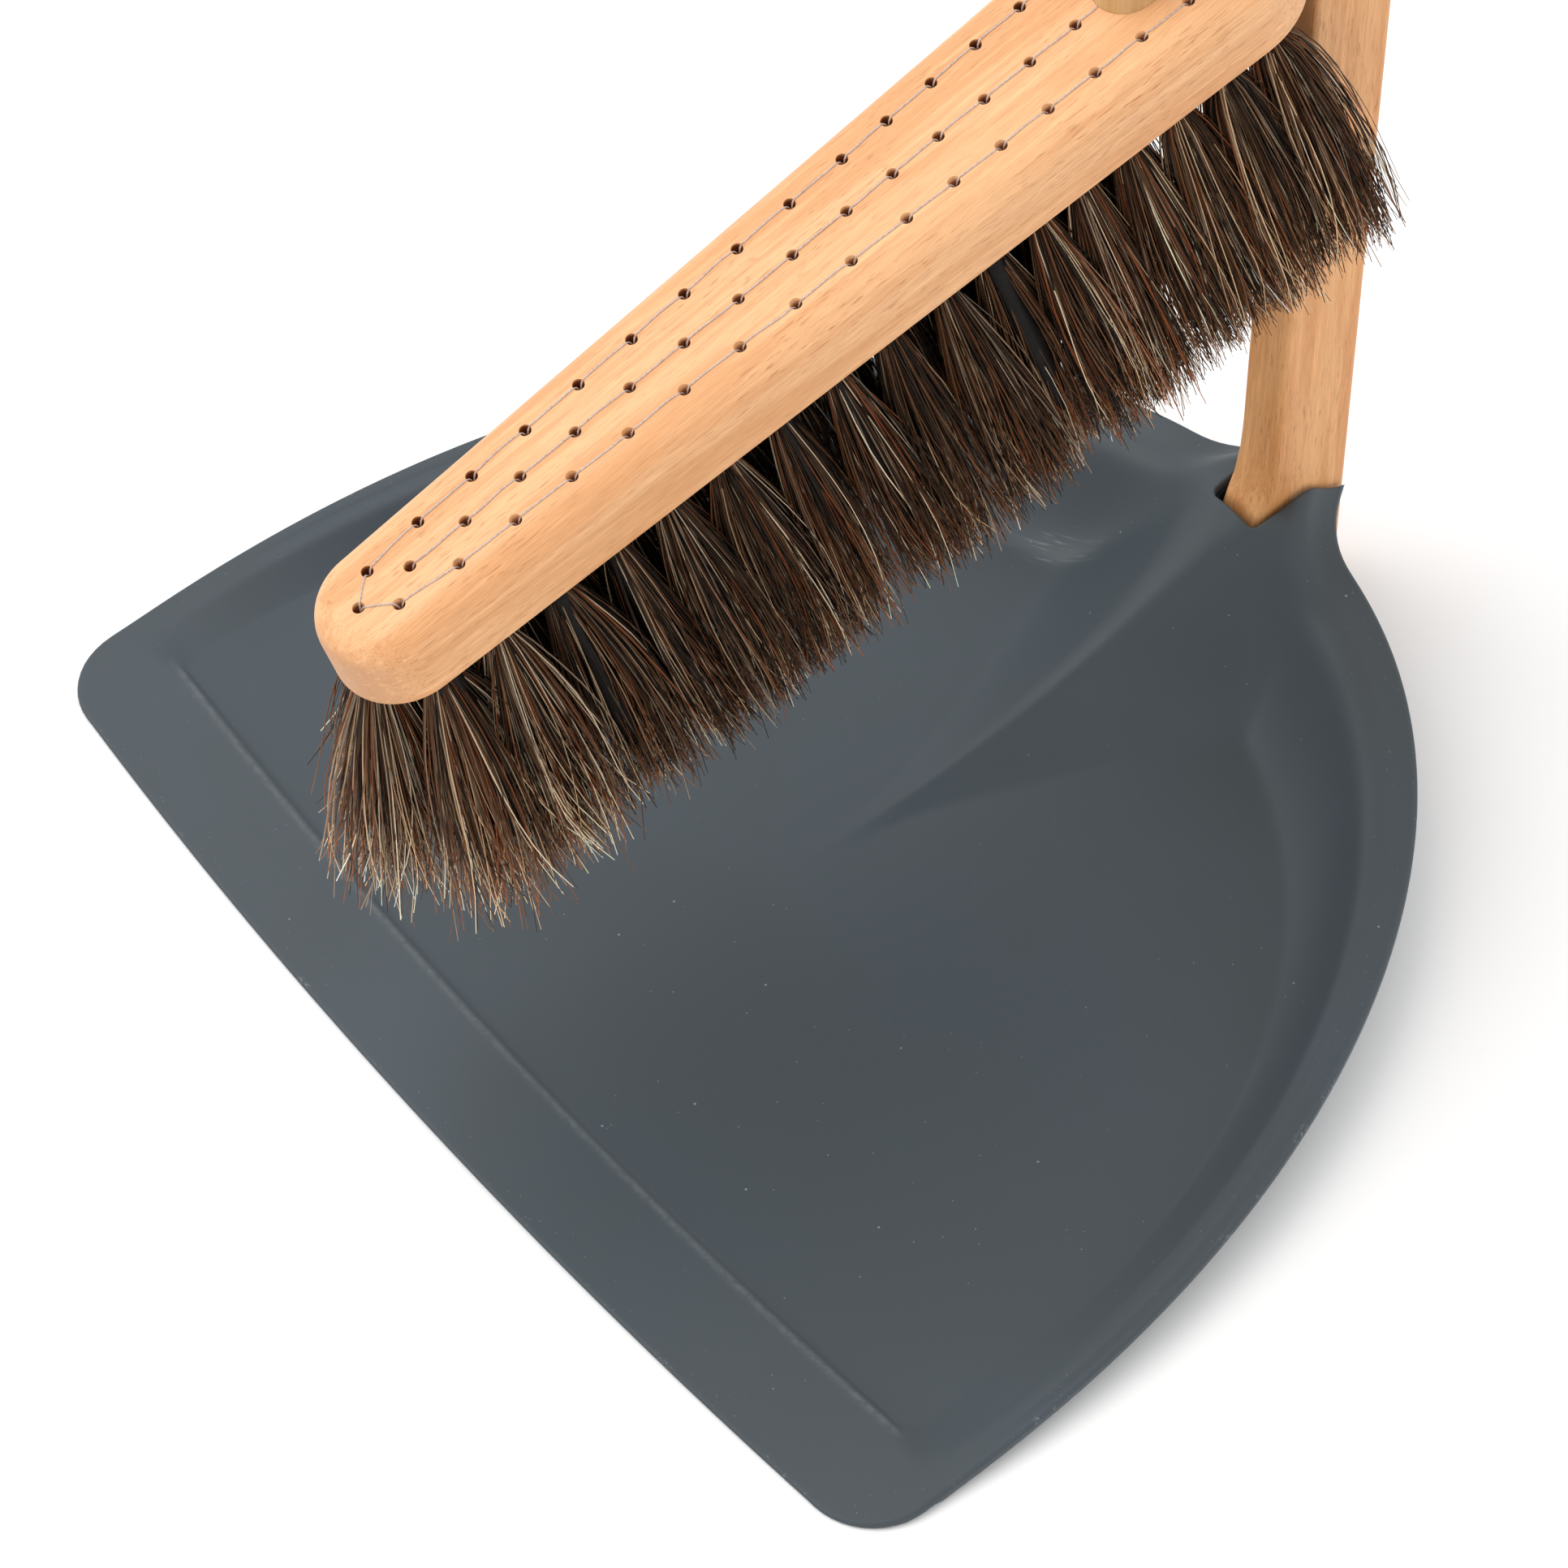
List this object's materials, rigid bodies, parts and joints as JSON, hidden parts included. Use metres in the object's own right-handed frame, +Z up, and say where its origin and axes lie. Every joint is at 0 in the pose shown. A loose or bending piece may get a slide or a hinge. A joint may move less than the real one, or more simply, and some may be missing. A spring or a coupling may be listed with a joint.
{
  "type": "dust pan and brush set",
  "caption": "Standing dust pan on a tall wooden bar handle, with a long-sticked horsehair brush hanging by a ball from a forked hanger and lifting off.",
  "frame": {"origin": "on the floor, on the plane of symmetry, 100 mm behind the middle of the pan's front edge, on the pan's flat underside", "axes": "+Z up along the handle, -Y towards the pan's front edge, +Y towards the handle, +X to the right as seen from behind the handle"},
  "size_m": [0.298, 0.2774, 0.82],
  "materials": {
    "pan_plastic": "matt soft-touch blue-grey moulded plastic",
    "beech": "oiled beech with fine flecks",
    "stick_wood": "oiled pale beech",
    "steel": "zinc plated",
    "wire": "thin galvanised wire",
    "horsehair": "mixed brown, black, grey and blond horsehair"
  },
  "bodies": {
    "pan_and_handle": {"dust_pan": "pan_plastic", "pan_handle": "beech", "handle_screws": "steel", "hanger_fork": "beech", "hanger_dowel": "stick_wood"},
    "brush": {"brush_block": "beech", "broom_stick": "stick_wood", "hanging_ball": "beech", "draw_wire_outer": "wire", "draw_wire_centre": "wire", "tuft_front": "horsehair", "tuft_left_01": "horsehair", "tuft_left_02": "horsehair", "tuft_left_03": "horsehair", "tuft_left_04": "horsehair", "tuft_left_05": "horsehair", "tuft_left_06": "horsehair", "tuft_left_07": "horsehair", "tuft_left_08": "horsehair", "tuft_left_09": "horsehair", "tuft_left_10": "horsehair", "tuft_left_11": "horsehair", "tuft_left_12": "horsehair", "tuft_left_13": "horsehair", "tuft_left_14": "horsehair", "tuft_left_15": "horsehair", "tuft_left_16": "horsehair", "tuft_left_17": "horsehair", "tuft_right_01": "horsehair", "tuft_right_02": "horsehair", "tuft_right_03": "horsehair", "tuft_right_04": "horsehair", "tuft_right_05": "horsehair", "tuft_right_06": "horsehair", "tuft_right_07": "horsehair", "tuft_right_08": "horsehair", "tuft_right_09": "horsehair", "tuft_right_10": "horsehair", "tuft_right_11": "horsehair", "tuft_right_12": "horsehair", "tuft_right_13": "horsehair", "tuft_right_14": "horsehair", "tuft_right_15": "horsehair", "tuft_right_16": "horsehair", "tuft_right_17": "horsehair", "tuft_centre_01": "horsehair", "tuft_centre_02": "horsehair", "tuft_centre_03": "horsehair", "tuft_centre_04": "horsehair", "tuft_centre_05": "horsehair", "tuft_centre_06": "horsehair", "tuft_centre_07": "horsehair", "tuft_centre_08": "horsehair", "tuft_centre_09": "horsehair", "tuft_centre_10": "horsehair", "tuft_centre_11": "horsehair", "tuft_centre_12": "horsehair", "tuft_centre_13": "horsehair", "tuft_centre_14": "horsehair"}
  },
  "joints": [
    {"name": "broom_lift", "type": "slide", "parent": "pan_and_handle", "child": "brush", "axis": [0, -0.6428, 0.766], "range_m": [0, 0.09]}
  ]
}
